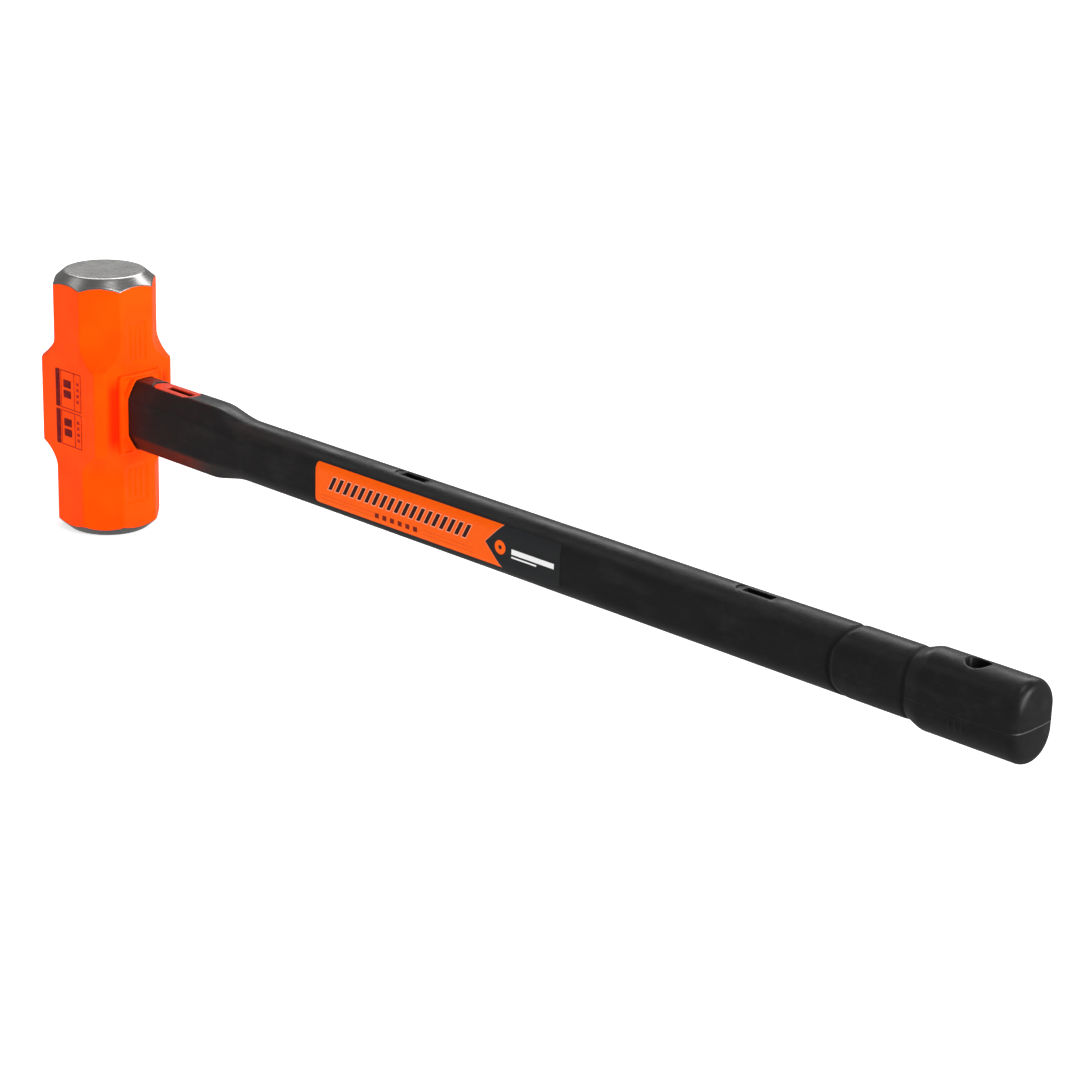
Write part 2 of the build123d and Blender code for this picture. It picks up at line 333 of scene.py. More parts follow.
# Paint and bare steel
ORANGE = (1.0, 0.068, 0.001, 1)
ORANGE_DEEP = (0.95, 0.056, 0.001, 1)
# Painted shade: a deeper orange-red on the cheek beside the boss
ORANGE_PAINTED_BOSS_SHADE = (0.90, 0.012, 0.001, 1)
ORANGE_PIT = (0.5, 0.02, 0.001, 1)
PAINT_CHIP = (0.10, 0.09, 0.085, 1)
PAINT_SHEEN = (1.0, 0.25, 0.08, 1)
STEEL_SHEEN = (1, 1, 1, 1)
STEEL = (0.50, 0.495, 0.485, 1)
STEEL_BLOOM = (0.38, 0.373, 0.366, 1)
STEEL_CONE = (0.21, 0.205, 0.20, 1)
STEEL_SCRATCH = (0.23, 0.23, 0.23, 1)
SPRING_STEEL = (0.42, 0.415, 0.41, 1)
PEEN_BROWN = (0.20, 0.15, 0.115, 1)
MILL_SCALE = (0.055, 0.056, 0.062, 1)
MILL_WORN = (0.13, 0.12, 0.115, 1)
PAINT_EDGE = (-0.55 * MM, -0.3 * MM)   # paint gives way to steel between these depths under the cone
PAINT_EDGE_WANDER = 0.9 * MM

# Rubber and plastic
RUBBER = (0.0034, 0.0033, 0.0034, 1)
RUBBER_GREY = (0.0090, 0.0086, 0.0086, 1)
RUBBER_RUBBED = (0.021, 0.0205, 0.0205, 1)
RUBBER_DUST = (0.06, 0.058, 0.055, 1)
RUBBER_CLOUD = (0.017, 0.0165, 0.0165, 1)
RUBBER_SEAM = (0.16, 0.16, 0.16, 1)
# Painted shade: near-black in the grip's creases
RUBBER_CREASE_SHADE = (0.0012, 0.0011, 0.0011, 1)
PAD_ORANGE = (0.72, 0.060, 0.022, 1)
PAD_RED = (0.62, 0.042, 0.014, 1)
# Painted shade: near-black inside the pad's window
PAD_WINDOW_SHADE = (0.045, 0.003, 0.002, 1)


def painted_colour(n):
    """Bright orange paint with faint clouds in it."""
    return n.blend(n.remap(n.noise(45, 3), 0.35, 0.7), ORANGE, ORANGE_DEEP)


def ground_steel(n, radius):
    """Colour and fine grain of the faces: scratches, turning rings on the cone, and a darker bloom."""
    rings = n.noise(1.0, 3, 0.7, n.scaled((60, 60, 5200)))
    scratches = n.noise(1.0, 4, 0.75, n.scaled((2600, 90, 400)))
    rim = 0.4 * MM
    fine = n.mix(n.remap(radius, FACE_RADIUS - rim, FACE_RADIUS + rim), scratches, rings)
    colour = n.blend(n.remap(n.noise(70, 4, 0.6), 0.3, 0.72), STEEL, STEEL_BLOOM)
    on_cone = n.remap(radius, FACE_RADIUS, FACE_RADIUS + 1 * MM, 0.0, 0.55)
    colour = n.blend(on_cone, colour, STEEL_CONE)
    colour = n.blend(n.remap(fine, 0.35, 0.75, 0.0, 0.20), colour, STEEL_SCRATCH)
    return colour, fine


def painted_boss_shade(n, x, y, z):
    """1 on the head's +X side right beside the boss, falling to 0 away from it: where shade is painted into
    the orange.
    """
    aside = n.math("ABSOLUTE", y)
    away = n.remap(aside, BOSS_HALF_WIDTH + 3 * MM, BOSS_HALF_WIDTH + 10.5 * MM, 1.0, 0.0)
    off_boss = n.remap(aside, BOSS_HALF_WIDTH - 1.6 * MM, BOSS_HALF_WIDTH - 1.0 * MM)
    ends = n.remap(n.distance(z, AXIS), BOSS_HALF_HEIGHT - 11 * MM, BOSS_HALF_HEIGHT + 1 * MM, 1.0, 0.0)
    near_side = n.remap(x, HALF_FLATS - 9 * MM, HALF_FLATS - 3 * MM)
    below_boss = n.remap(x, HALF_FLATS + 0.8 * MM, HALF_FLATS + 2.2 * MM, 1.0, 0.0)
    return n.times(away, off_boss, ends, near_side, below_boss)


def head_material():
    """Orange paint, and bare ground steel on the striking faces and their cones."""
    n = Nodes("head_paint_and_steel")
    x, y, z = n.axes()
    radius = n.math("SQRT", n.math("ADD", n.times(x, x), n.times(y, y)))
    over = n.math("MAXIMUM", n.math("SUBTRACT", radius, FACE_RADIUS), 0.0)
    cone = n.math("SUBTRACT", HEAD_LENGTH / 2, n.math("DIVIDE", over, CONE_SLOPE))
    proud = n.math("SUBTRACT", n.distance(z, HEAD_LENGTH / 2), cone)
    wander = n.times(n.math("SUBTRACT", n.noise(380, 4, 0.7), 0.5), PAINT_EDGE_WANDER)
    bare = n.remap(n.math("ADD", proud, wander), *PAINT_EDGE)
    steel, fine = ground_steel(n, radius)
    steel_rough = n.remap(fine, 0.2, 0.8, 0.24, 0.32, False)
    # Paint: orange peel, small pits, gloss that varies, and painted shade: a deeper orange-red beside the boss
    peel = n.noise(900, 2, 0.5)
    pits = n.remap(n.noise(420, 5, 0.65), 0.66, 0.74)
    paint = n.blend(n.times(painted_boss_shade(n, x, y, z), 0.85), painted_colour(n), ORANGE_PAINTED_BOSS_SHADE)
    paint = n.blend(n.times(pits, 0.35), paint, ORANGE_PIT)
    paint_rough = n.remap(n.noise(60, 3), 0.3, 0.7, 0.34, 0.48)
    relief = n.math("ADD", n.times(peel, 0.5), n.times(n.noise(210, 3), 0.9))
    height = n.mix(bare, relief, n.times(fine, 0.035))
    step = n.bump(n.math("SUBTRACT", 1.0, bare), 0.12 * MM)
    normal = n.bump(height, 0.11 * MM, step)
    n.shader.inputs["Specular IOR Level"].default_value = 0.06
    n.link(n.blend(bare, PAINT_SHEEN, STEEL_SHEEN), n.shader.inputs["Specular Tint"])
    return n.finish(n.blend(bare, paint, steel), n.mix(bare, paint_rough, steel_rough), normal, bare)


def painted_material(name):
    """Orange paint on a small steel part."""
    n = Nodes(name)
    chips = n.remap(n.noise(330, 5, 0.7), 0.68, 0.72)
    relief = n.math("ADD", n.noise(800, 2), n.noise(240, 3))
    normal = n.bump(relief, 0.10 * MM)
    n.shader.inputs["Specular IOR Level"].default_value = 0.15
    n.shader.inputs["Specular Tint"].default_value = PAINT_SHEEN
    colour = n.blend(chips, painted_colour(n), PAINT_CHIP)
    return n.finish(colour, n.remap(n.noise(90, 3), 0.3, 0.7, 0.34, 0.5), normal, chips)


def end_seam(n, x, z):
    """1 on the mould's parting line, where it crosses the handle's end."""
    line = n.remap(n.distance(z, AXIS - SEAM_DROP), 0.05 * MM, 0.5 * MM, 1.0, 0.0)
    return n.times(line, n.remap(x, BUTT - 5 * MM, BUTT - 1 * MM))


def grip_crease_shade_and_dull(n, x, z):
    """1 in the creases at the grip's two ends, as handle_relief cuts them; it paints shade into their colour
    and dulls their gloss.
    """
    bow = n.math("POWER", n.math("DIVIDE", n.distance(z, AXIS), SHAFT_FINISH[1]), 2.0)
    start = n.math("ADD", SHAFT_END - CREASE_SET * CREASE_BOW, n.times(bow, CREASE_BOW))
    off_start = n.math("ABSOLUTE", n.math("SUBTRACT", x, start))
    nearest = n.math("MINIMUM", off_start, n.distance(x, GRIP_END))
    return n.remap(nearest, 0.3 * MM, 2.6 * MM, 1.0, 0.0)


def rubber_material():
    """Moulded black rubber: satin, with a fine grain, rubbed patches, pale dust, and dull creases darkened
    with painted shade.
    """
    n = Nodes("moulded_rubber")
    x, _, z = n.axes()
    flow = n.noise(1.0, 4, 0.6, n.scaled((26, 120, 120)))
    rubbed = n.remap(n.noise(95, 5, 0.7), 0.50, 0.74)
    dust = n.remap(n.noise(700, 5, 0.8), 0.63, 0.80)
    clouds = n.noise(1.0, 4, 0.65, n.scaled((30, 60, 60)))
    seam = end_seam(n, x, z)
    # The creases get painted shade in their colour, and a rougher, duller surface
    crease = n.times(grip_crease_shade_and_dull(n, x, z), 0.6)
    colour = n.blend(flow, RUBBER, RUBBER_GREY)
    colour = n.blend(n.times(rubbed, 0.30), colour, RUBBER_RUBBED)
    colour = n.blend(n.times(dust, 0.12), colour, RUBBER_DUST)
    colour = n.blend(n.remap(clouds, 0.52, 0.72, 0.0, 0.5), colour, RUBBER_CLOUD)
    colour = n.blend(n.times(seam, 0.45), colour, RUBBER_SEAM)
    colour = n.blend(crease, colour, RUBBER_CREASE_SHADE)
    lines = n.noise(1.0, 3, 0.7, n.scaled((35, 900, 900)))
    rough = n.math("ADD", n.remap(clouds, 0.3, 0.7, 0.30, 0.46), n.times(rubbed, 0.08))
    rough = n.math("SUBTRACT", rough, n.remap(lines, 0.55, 0.8, 0.0, 0.08))
    rough = n.mix(crease, rough, 0.95)
    pits = n.remap(n.noise(900, 4, 0.7), 0.60, 0.75)
    height = n.math("ADD", n.times(n.noise(2600, 3, 0.6), 0.30), n.times(n.noise(150, 3), 0.9))
    height = n.math("SUBTRACT", height, n.times(pits, 0.25))
    height = n.math("ADD", height, n.times(seam, 1.5))
    n.shader.inputs["Specular IOR Level"].default_value = 0.28
    return n.finish(colour, rough, n.bump(height, 0.10 * MM))


def pad_material():
    """Glossy orange-red plastic of the first spacer, with painted shade making it dark inside its window."""
    n = Nodes("spacer_plastic")
    _, _, z = n.axes()
    painted_window_shade = n.remap(z, PAD_HIGH.z - 0.5 * MM, PAD_HIGH.z - 1.6 * MM)
    colour = n.blend(n.noise(180, 3), PAD_ORANGE, PAD_RED)
    colour = n.blend(painted_window_shade, colour, PAD_WINDOW_SHADE)
    rough = n.remap(n.noise(140, 3), 0.3, 0.7, 0.16, 0.28)
    normal = n.bump(n.noise(420, 2), 0.08 * MM)
    n.shader.inputs["Specular IOR Level"].default_value = 0.32
    return n.finish(colour, rough, normal)


def rod_material():
    """Bare spring steel, peened at its ends, with a brown tint in the hollows."""
    n = Nodes("peened_steel")
    dents = n.noise(520, 3, 0.6)
    colour = n.blend(n.remap(n.noise(260, 4, 0.7), 0.5, 0.72), SPRING_STEEL, PEEN_BROWN)
    rough = n.remap(dents, 0.3, 0.7, 0.26, 0.46)
    normal = n.bump(n.math("ADD", dents, n.times(n.noise(1600, 3), 0.3)), 0.22 * MM)
    return n.finish(colour, rough, normal, 1.0)


def mill_steel_material():
    """Dark mill scale on the inner plates."""
    n = Nodes("mill_scale_steel")
    flakes = n.remap(n.noise(300, 5, 0.7), 0.4, 0.65)
    colour = n.blend(flakes, MILL_SCALE, MILL_WORN)
    normal = n.bump(n.noise(700, 4), 0.1 * MM)
    return n.finish(colour, n.mix(flakes, 0.42, 0.6), normal, 1.0)


# ---- head

def hammer_head():
    """The forging: eased edges, and faint forged waves and lumps away from the ground faces."""
    piece = refined("hammer_head", "forged_head", HEAD_VOXEL)
    points = coordinates(piece.data)
    out = normals(piece.data)
    radius = np.hypot(points[:, 0], points[:, 1])
    cone = HEAD_LENGTH / 2 - np.maximum(radius - FACE_RADIUS, 0) / CONE_SLOPE
    proud = np.abs(points[:, 2] - HEAD_LENGTH / 2) - cone
    forged = smoothstep((-proud - 0.4 * MM) / (1.2 * MM))
    waves = fractal(points, 16 * MM, 2, (3.1, 0.4, 7.7))
    lumps = fractal(points, 4.5 * MM, 2, (1.3, 5.2, 0.9))
    rise = (0.075 * waves + 0.028 * lumps) * MM * forged
    # The cheek's printed area is flat
    across = outside(points[:, 0], MARK_LOW.x, MARK_HIGH.x)
    along = outside(points[:, 2], MARK_LOW.z, MARK_HIGH.z)
    printed = (points[:, 1] < 0) * (1 - smoothstep(np.hypot(across, along) / (5 * MM)))
    rise *= 1 - printed
    move_to(piece.data, points + out * rise[:, None])
    shade_smooth(piece.data)
    piece.data.materials.append(head_material())
    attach(piece, "root")
    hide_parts("hammer_head")


# ---- handle

def neck_polygon(count):
    """Quarter of the neck's section, from mid side to crown, as points close together."""
    width, height = NECK
    cut_y, cut_z = NECK_CUT
    corners = [(width, 0), (width, height - cut_z), (width - cut_y, height), (0, height + FACET_CROWN)]
    return resampled(np.array(corners), count)


def oval_quarter(half_width, half_height, side, corner, count):
    """Quarter of a squared oval, from mid side to crown: a flat, a corner arc and a crown arc."""
    centre_y = half_width - corner
    depth = half_height - corner
    crown_z = (depth**2 - centre_y**2 - side**2) / (2 * (depth - side))
    crown_radius = half_height - crown_z
    tilt = math.atan2(centre_y, side - crown_z)
    turn = np.linspace(0, math.pi / 2 - tilt, 40)
    arc = np.stack([centre_y + corner * np.cos(turn), side + corner * np.sin(turn)], axis=1)
    lean = np.linspace(tilt, 0, 40)[1:]
    crown = np.stack([crown_radius * np.sin(lean), crown_z + crown_radius * np.cos(lean)], axis=1)
    return resampled(np.concatenate([[(half_width, 0)], arc, crown]), count)


def resampled(line, shares):
    """Points at shares of a line's length. A whole number means that many even shares."""
    if isinstance(shares, int):
        shares = np.linspace(0, 1, shares)
    steps = np.hypot(*np.diff(line, axis=0).T)
    along = np.concatenate([[0], np.cumsum(steps)])
    return np.stack([np.interp(shares * along[-1], along, line[:, k]) for k in (0, 1)], axis=1)


def closed_section(quarter, ease):
    """Whole section from a quarter, its corners eased, as a closed dense line from mid side +Y."""
    upper = np.concatenate([quarter, quarter[-2::-1] * [-1, 1]])
    whole = np.concatenate([upper, upper[-2:0:-1] * [1, -1]])
    count = len(whole)
    perimeter = np.hypot(*(np.roll(whole, -1, axis=0) - whole).T).sum()
    spread = ease / (perimeter / count)
    if spread > 0.1:
        reach = int(4 * spread) + 1
        weights = np.exp(-0.5 * (np.arange(-reach, reach + 1) / spread) ** 2)
        weights /= weights.sum()
        whole = sum(w * np.roll(whole, k, axis=0) for w, k in zip(weights, range(-reach, reach + 1)))
    return whole


DENSE = 241                   # points in a quarter's dense line
NECK_EASE = 0.5 * MM          # spread of the blur that eases a section's corners
OVAL_EASE = 0.8 * MM
PERIMETER = 125 * MM          # about the length around the shaft
COLUMN_GAP = 0.0016           # least share of the perimeter between two columns


def column_shares():
    """Places of the mesh's columns around the section, as shares of the perimeter from mid side +Y."""
    quarter = np.concatenate([
        np.linspace(0.0, 0.62, 20, endpoint=False),
        np.linspace(0.62, 1.0, 17),
    ]) / 4
    upper = np.concatenate([quarter, 0.5 - quarter[-2::-1]])
    lower_quarter = np.linspace(0, 1, 30) / 4
    lower = np.concatenate([1 - lower_quarter, 0.5 + lower_quarter])
    seam = SEAM_DROP / PERIMETER
    fine = SEAM_HALF_WIDTH / PERIMETER
    seams = [1 - seam + k * fine for k in (-1, 0, 1)] + [0.5 + seam + k * fine for k in (-1, 0, 1)]
    every = np.unique(np.round(np.concatenate([upper, lower % 1.0, seams]), 6))
    keep = [every[0]]
    for share in every[1:]:
        if share - keep[-1] > COLUMN_GAP or any(abs(share - s) < 1e-5 for s in seams):
            keep.append(share)
    return np.array(keep)


COLUMNS = column_shares()


def section_line(quarter, ease):
    """Section at the mesh's columns."""
    whole = closed_section(quarter, ease)
    loop = np.concatenate([whole, whole[:1]])
    dense_share = np.linspace(0, 1, len(loop))
    return np.stack([np.interp(COLUMNS, dense_share, loop[:, k]) for k in (0, 1)], axis=1)


SECTIONS = {
    "neck": section_line(neck_polygon(DENSE), NECK_EASE),
    "start": section_line(oval_quarter(*SHAFT_START, DENSE), OVAL_EASE),
    "finish": section_line(oval_quarter(*SHAFT_FINISH, DENSE), OVAL_EASE),
    "grip": section_line(oval_quarter(*GRIP, DENSE), OVAL_EASE),
    "pommel": section_line(oval_quarter(*POMMEL, DENSE), OVAL_EASE),
}


def shaft_section(x):
    """Section of the plain shaft."""
    share = (x - TAPER_END) / (SHAFT_END - TAPER_END)
    return SECTIONS["start"] + (SECTIONS["finish"] - SECTIONS["start"]) * share


def handle_section(x, bend):
    """Section at x. bend moves the crease at the grip along X, column by column."""
    taper = smoothstep((x - NECK_END + 2 * MM) / (TAPER_END - NECK_END + 3 * MM))
    body = SECTIONS["neck"] + (shaft_section(x) - SECTIONS["neck"]) * taper
    grip = smoothstep((x - bend - SHAFT_END) / (GRIP_START - SHAFT_END))[:, None]
    body = body + (SECTIONS["grip"] - body) * grip
    shoulder = smoothstep((x - GRIP_END) / (POMMEL_START - GRIP_END))
    return body + (SECTIONS["pommel"] - body) * shoulder


def rows_along():
    """X of the handle's rows: close together at the slots, the tapers and the hole."""
    # From each X on, the step in millimetres
    marks = [(NECK_START, 1.5), (NECK_END - 4 * MM, 1.0), (TAPER_END + 4 * MM, 1.7),
             (SHAFT_END - 6 * MM, 0.7), (GRIP_START + 14 * MM, 1.4), (GRIP_END - 3 * MM, 0.7),
             (POMMEL_START + 3 * MM, 1.2), (BUTT - POMMEL_ROUND, 1.0)]
    fine_step = 0.55
    fine = [(x - length / 2 - 1.5 * MM, x + length / 2 + 1.5 * MM) for x, length, _, _ in SLOTS]
    fine.append((HOLE_X - HOLE_RADIUS - 3 * MM, HOLE_X + HOLE_RADIUS + 3 * MM))
    rows = [NECK_START]
    while rows[-1] < BUTT - POMMEL_ROUND - 0.2 * MM:
        x = rows[-1]
        step = [size for mark, size in marks if mark <= x + 1e-9][-1]
        if any(low <= x <= high for low, high in fine):
            step = min(step, fine_step)
        rows.append(min(x + step * MM, BUTT - POMMEL_ROUND))
    return rows


def stadium(x, y, centre, length, width):
    """Distance outside an oval with straight sides, negative inside."""
    run = np.maximum(np.abs(x - centre) - (length - width) / 2, 0)
    return np.hypot(run, y) - width / 2


def rounded_lip(distance, radius):
    """How far a rounded edge falls below a face, at a distance from the wall."""
    inside = np.clip(radius - distance, 0, radius)
    return radius - np.sqrt(np.maximum(radius**2 - inside**2, 0))


def crease_bend(bow):
    """How far along X the grip's first crease moves. bow is 0 at mid side and 1 at the crown."""
    return CREASE_BOW * (bow**2 - CREASE_SET)


def handle_grid():
    """Rings of points of the handle's skin, from the neck's foot to the start of the end's rounding."""
    bow = np.abs(SECTIONS["finish"][:, 1]) / SHAFT_FINISH[1]
    rings = []
    for x in rows_along():
        outline = handle_section(x, crease_bend(bow))
        rings.append(np.column_stack([np.full(len(outline), x), outline]))
    return rings


def end_rings(last):
    """Rings of the rounded, slightly domed end."""
    rings = []
    outline = last[:, 1:]
    out = outline_normals(outline)
    for step in range(1, 11):
        turn = step / 10 * math.pi / 2
        inset = POMMEL_ROUND * (1 - math.cos(turn))
        x = BUTT - END_DOME - POMMEL_ROUND * (1 - math.sin(turn))
        rings.append(np.column_stack([np.full(len(outline), x), outline - out * inset]))
    flat = rings[-1][:, 1:]
    for share in np.linspace(0.93, 0.07, 13):
        x = BUTT - END_DOME * share**2
        rings.append(np.column_stack([np.full(len(outline), x), flat * share]))
    return rings


def outline_normals(outline):
    """Outward normals of a closed section."""
    along = np.roll(outline, -1, axis=0) - np.roll(outline, 1, axis=0)
    out = np.column_stack([along[:, 1], -along[:, 0]])
    return out / np.linalg.norm(out, axis=1)[:, None]


def handle_relief(points):
    """Moulded details and small unevenness of the rubber, as a rise along the normals."""
    x, y, z = points.T
    rise = 0.10 * MM * fractal(points * [0.35, 1, 1], 22 * MM, 2, (0.2, 9.1, 4.0))
    rise += 0.018 * MM * fractal(points, 3.2 * MM, 2, (8.4, 2.2, 1.5))
    ridge = np.clip(1 - np.abs(z + SEAM_DROP) / SEAM_HALF_WIDTH, 0, 1) * (np.abs(y) > 3 * MM)
    clear_from, clear_over = SEAM_CLEAR
    fade = SEAM_FAINT + (1 - SEAM_FAINT) * smoothstep((x - clear_from) / clear_over)
    rise += SEAM_HEIGHT * ridge * fade
    for centre, length, width, _ in SLOTS:
        distance = stadium(x, y, centre, length, width)
        rise -= np.where(z > OFF_SIDE, rounded_lip(np.maximum(distance, 0), SLOT_LIP), 0)
    hole = np.hypot(x - HOLE_X, y) - HOLE_RADIUS
    rise -= np.where(np.abs(z) > OFF_SIDE, rounded_lip(np.maximum(hole, 0), HOLE_MOUTH), 0)
    bow = np.clip(np.abs(z) / SHAFT_FINISH[1], 0, 1)
    crease = (x - crease_bend(bow) - SHAFT_END) / CREASE_WIDTH
    rise -= CREASE_DEPTH * np.exp(-crease**2)
    foot = (x - GRIP_END) / FOOT_WIDTH
    rise -= FOOT_DEPTH * np.exp(-foot**2)
    rise += pommel_bars(x, y, z)
    rise -= END_INSET * smoothstep((x - BUTT) / (2 * MM) + 1)
    return rise


def pommel_bars(x, y, z):
    """Shallow plain bars moulded on the pommel's -Y side."""
    rise = np.zeros(len(x))
    for centre in BAR_PLACES:
        bar = np.clip(1 - np.abs(x - centre) / BAR_HALF_WIDTH, 0, 1) * (np.abs(z + BAR_DROP) < BAR_HALF_LENGTH)
        rise += BAR_HEIGHT * bar * (y < -10 * MM)
    return rise


def finished(work, name):
    """Mesh from a bmesh, which is freed."""
    mesh = bpy.data.meshes.new(name)
    work.to_mesh(mesh)
    work.free()
    return mesh


def rings_mesh(name, rings, pointed=False):
    """Closed mesh of rings, capped flat, or with its last ring closed to a point."""
    work = bmesh.new()
    rows = [[work.verts.new(p) for p in ring] for ring in rings]
    first, last = rows[0], rows[-1]
    after = [*range(1, len(first)), 0]
    tip = work.verts.new(np.mean(rings[-1], axis=0)) if pointed else None
    for low, high in zip(rows, rows[1:]):
        for k, following in enumerate(after):
            work.faces.new((low[k], low[following], high[following], high[k]))
    if pointed:
        for k, following in enumerate(after):
            work.faces.new((last[k], last[following], tip))
    work.faces.new(list(reversed(first)))
    if not pointed:
        work.faces.new(last)
    bmesh.ops.recalc_face_normals(work, faces=work.faces)
    return finished(work, name)


def prism(name, outline, low, high):
    """Closed prism along Z of an outline in X and Y."""
    return rings_mesh(name, [[(px, py, z) for px, py in outline] for z in (low, high)])


def rounded_outline(centre, length, width, corner, steps=8):
    """Outline of a rectangle with rounded corners, about (centre, 0)."""
    points = []
    for k, (sx, sy) in enumerate(((1, 1), (-1, 1), (-1, -1), (1, -1))):
        for turn in np.linspace(0, math.pi / 2, steps + 1) + k * math.pi / 2:
            points.append((centre + sx * (length / 2 - corner) + corner * math.cos(turn),
                           sy * (width / 2 - corner) + corner * math.sin(turn)))
    return points


def cut(piece, mesh):
    """Takes a closed mesh out of a piece."""
    tool = add_object("tool", mesh)
    slot = piece.modifiers.new("cut", "BOOLEAN")
    slot.operation = "DIFFERENCE"
    slot.solver = "EXACT"
    slot.object = tool
    applied(piece)
    bpy.data.objects.remove(tool)


def rubber_handle():
    """The rubber moulding: neck, shaft, grip and pommel, with its slots and hanging hole."""
    rings = handle_grid()
    rings += end_rings(rings[-1])
    piece = add_object("moulded_handle", rings_mesh("moulded_handle", rings, pointed=True))
    points = coordinates(piece.data)
    out = normals(piece.data)
    points = points + out * handle_relief(points)[:, None]
    move_to(piece.data, points + [0, 0, AXIS])
    above = AXIS + 30 * MM
    for number, (x, length, width, depth) in enumerate(SLOTS):
        crown = NECK[1] if x < NECK_END else shaft_section(x)[:, 1].max()
        oval = rounded_outline(x, length, width, width / 2 - 0.001 * MM)
        cut(piece, prism("slot_tool", oval, AXIS + crown - depth, above))
        if number > 0:
            window = rounded_outline(x, SLOT_WINDOW[0], SLOT_WINDOW[1], WINDOW_CORNER, 4)
            cut(piece, prism("window_tool", window, AXIS + crown - SLOT_WINDOW[2], above))
    bore = rounded_outline(HOLE_X, 2 * HOLE_RADIUS, 2 * HOLE_RADIUS, HOLE_RADIUS - 0.001 * MM, 14)
    cut(piece, prism("hole_tool", bore, AXIS - 40 * MM, above + 10 * MM))
    shade_smooth(piece.data, 38)
    piece.data.materials.append(rubber_material())
    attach(piece, "root")
    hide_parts("rubber_handle")


# ---- label

LABEL_MIDDLE = 1.0 * MM       # above the handle's axis
LABEL_HALF = 12.6 * MM
LABEL_FILM = 0.16 * MM
LABEL_CORNER = 2.0 * MM
TIP_X = 372.5 * MM            # where the orange field's two points end
NOTCH_X = 359.5 * MM

# The print: spans along X, and heights from the label's middle
STRIPE_PITCH = 6.3 * MM
STRIPE_LEAN = 0.55            # X per height
STRIPE_HALF = 1.55 * MM
STRIPE_ROW = (227 * MM, 347 * MM)
STRIPE_HEIGHTS = (-2.2 * MM, 6.4 * MM)
KEYLINE = 0.55 * MM           # pale line around a stripe
RULE_SPAN = (221 * MM, 350 * MM)
RULE_GAP = (267 * MM, 308 * MM)
RULE_HEIGHTS = ((-7.0 * MM, -6.7 * MM), (-9.5 * MM, -9.2 * MM))
BLOCK_PITCH = 6.5 * MM        # small blocks between the rules
BLOCK_HALF = 1.7 * MM
BLOCK_ROW = (268 * MM, 307 * MM)
BLOCK_HEIGHTS = (-9.6 * MM, -6.6 * MM)
DISC_X = 371.5 * MM
DISC_DROP = 0.6 * MM
DISC_RADII = (1.3 * MM, 4.2 * MM)
WHITE_BARS = (((380.5 * MM, 413.5 * MM), (-2.6 * MM, 0.6 * MM)),
              ((380.5 * MM, 400 * MM), (-4.8 * MM, -3.8 * MM)))

LABEL_ORANGE = (0.92, 0.112, 0.002, 1)
LABEL_ORANGE_DEEP = (0.86, 0.092, 0.002, 1)
LABEL_KEYLINE = (0.9, 0.45, 0.30, 1)
LABEL_STRIPE = (0.035, 0.012, 0.010, 1)
LABEL_RULE = (0.45, 0.03, 0.01, 1)
LABEL_BLOCK = (0.16, 0.015, 0.008, 1)
LABEL_BLACK = (0.020, 0.021, 0.022, 1)
LABEL_WHITE = (0.78, 0.78, 0.78, 1)
LABEL_EDGE = (0.9, 0.35, 0.2, 1)
LABEL_SCUFF = (0.25, 0.06, 0.03, 1)


